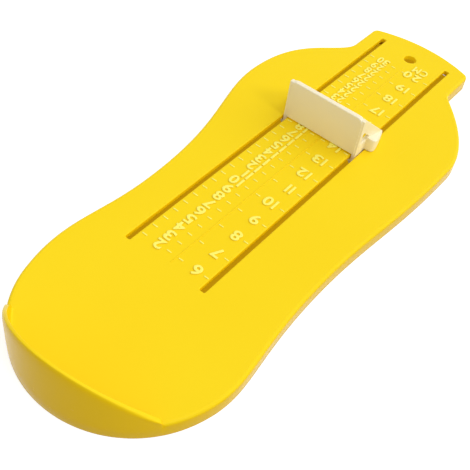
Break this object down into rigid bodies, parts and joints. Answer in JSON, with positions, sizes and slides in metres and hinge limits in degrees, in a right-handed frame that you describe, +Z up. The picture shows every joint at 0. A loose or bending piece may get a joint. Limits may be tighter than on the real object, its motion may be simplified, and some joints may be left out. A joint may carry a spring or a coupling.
{
  "type": "foot measuring device",
  "caption": "Sole-shaped plastic board with a heel cup and a toe slider that runs in slots beside a raised length scale, for measuring a child's foot.",
  "frame": {"origin": "middle of the board's overall box, on the surface that it rests on", "axes": "+Y from the heel cup towards the toes, along the slider's travel; +Z up, out of the deck; +X to the right as seen from the heel"},
  "size_m": [0.0886, 0.2258, 0.0249],
  "materials": {
    "board_plastic": "smooth moulded yellow plastic, satin to gloss",
    "slider_plastic": "smooth moulded ivory plastic, satin"
  },
  "bodies": {
    "board": {"sole_board": "board_plastic"},
    "slider": {"toe_slider": "slider_plastic"}
  },
  "joints": [
    {"name": "slider_slide", "type": "slide", "parent": "board", "child": "slider", "axis": [0, 1, 0], "range_m": [-0.0857, 0.0607]}
  ]
}
